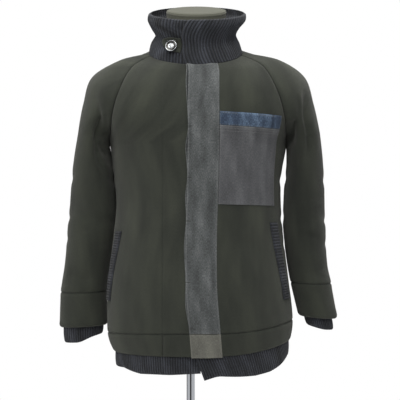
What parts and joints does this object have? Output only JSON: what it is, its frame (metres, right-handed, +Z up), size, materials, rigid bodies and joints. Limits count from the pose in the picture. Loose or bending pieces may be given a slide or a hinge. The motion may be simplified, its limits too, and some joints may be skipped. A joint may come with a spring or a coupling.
{
  "type": "cotton jacket on a limbless dress form with a pole stand",
  "caption": "Raglan-sleeved cotton jacket with tall rib-knit funnel collar, rib cuffs and hem, fly placket and chest patch pocket, worn by a limbless dress form on a pole stand.",
  "frame": {"origin": "centre of the stand base's underside, on the pole's axis", "axes": "+Z up along the pole, -Y towards the jacket's front, so the wearer's right is towards -X"},
  "size_m": [0.6177, 0.33, 1.3885],
  "materials": {
    "body_knit": "matt double-knit cotton",
    "rib_knit": "matt rib knit",
    "grey_cotton": "washed woven cotton",
    "denim": "faded denim",
    "button_black": "glossy with a bright rim",
    "form_jersey": "matt jersey cover",
    "chrome": "polished chrome plating"
  },
  "bodies": {
    "root": {"back": "body_knit", "chest_pocket": "grey_cotton", "collar": "rib_knit", "collar_button": "button_black", "collar_tab": "body_knit", "cuff_left": "rib_knit", "cuff_right": "rib_knit", "form_neck_cap": "form_jersey", "form_torso": "form_jersey", "front_left": "body_knit", "front_right": "body_knit", "hem_band_back": "body_knit", "hem_band_facing": "body_knit", "hem_band_front_left": "body_knit", "hem_band_front_right": "body_knit", "hem_rib": "rib_knit", "placket": "grey_cotton", "placket_patch": "grey_cotton", "placket_under": "grey_cotton", "pocket_denim": "denim", "pocket_welt_left": "rib_knit", "pocket_welt_right": "rib_knit", "sleeve_band_left": "body_knit", "sleeve_band_right": "body_knit", "sleeve_left": "body_knit", "sleeve_right": "body_knit", "stand_base": "chrome", "stand_plate": "chrome", "stand_pole": "chrome"}
  },
  "joints": []
}
